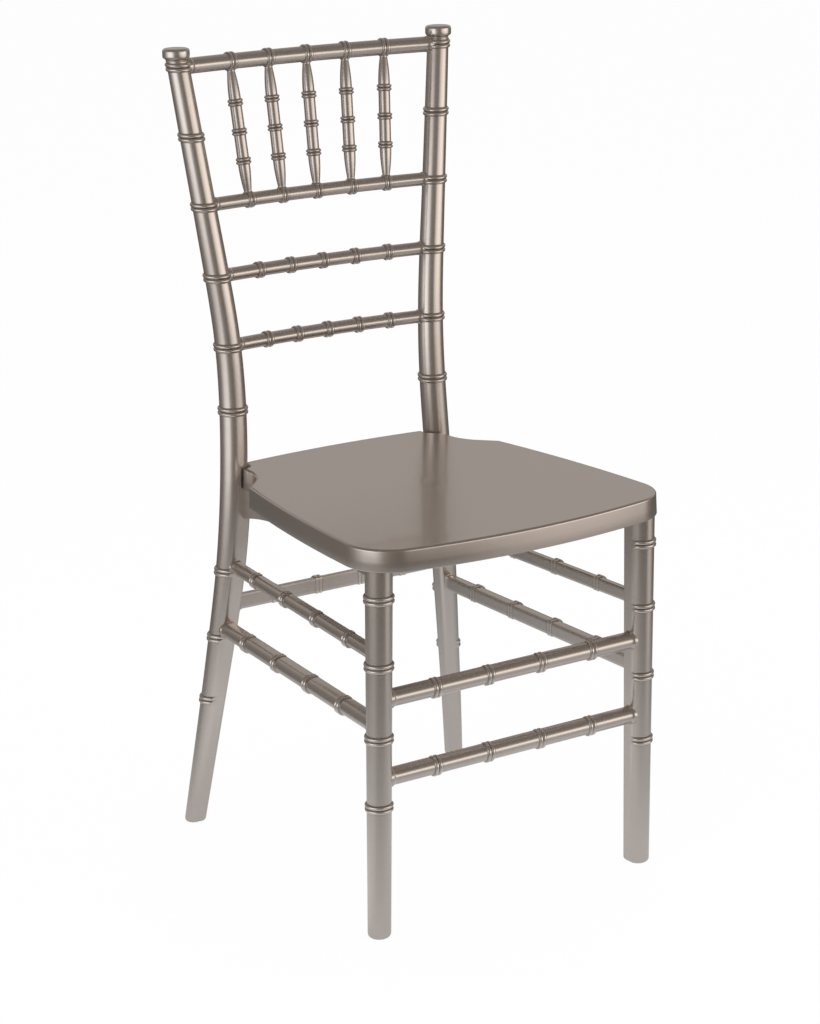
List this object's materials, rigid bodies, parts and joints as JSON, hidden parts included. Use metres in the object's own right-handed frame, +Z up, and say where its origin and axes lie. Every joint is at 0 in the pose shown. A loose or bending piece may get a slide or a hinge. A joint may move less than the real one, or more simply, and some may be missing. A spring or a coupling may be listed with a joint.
{
  "type": "chiavari chair",
  "caption": "Ballroom side chair with ring-turned legs, bowed back rails, a spindle crest, half-round stretchers and a flat moulded seat on a screwed rail frame.",
  "frame": {"origin": "on the floor, midway between the outsides of the feet and midway in depth", "axes": "+X to the right seen from the front, +Y to the back, +Z up; the seat's front edge faces -Y"},
  "size_m": [0.3994, 0.4697, 0.9271],
  "materials": {
    "frame": "satin champagne metallic",
    "finial": "satin champagne metallic",
    "seat": "satin champagne metallic",
    "block": "satin",
    "screw": "zinc plated",
    "glide": "matt"
  },
  "bodies": {
    "root": {"rear_post_right": "frame", "rear_post_left": "frame", "front_leg_right": "frame", "front_leg_left": "frame", "top_rail": "frame", "spindle_rail": "frame", "back_rail_upper": "frame", "back_rail_lower": "frame", "spindle_1": "frame", "spindle_2": "frame", "spindle_3": "frame", "spindle_4": "frame", "spindle_5": "frame", "front_stretcher_upper": "frame", "front_stretcher_lower": "frame", "rear_stretcher": "frame", "side_stretcher_right_upper": "frame", "side_stretcher_left_upper": "frame", "side_stretcher_right_lower": "frame", "side_stretcher_left_lower": "frame", "seat_rail_front": "frame", "seat_rail_rear": "frame", "seat_rail_right": "frame", "seat_rail_left": "frame", "finial_right": "finial", "finial_left": "finial", "seat_panel": "seat", "corner_block_front_right": "block", "corner_block_front_left": "block", "corner_block_rear_right": "block", "corner_block_rear_left": "block", "block_screws": "screw", "seat_screws": "screw", "foot_glides": "glide"}
  },
  "joints": []
}
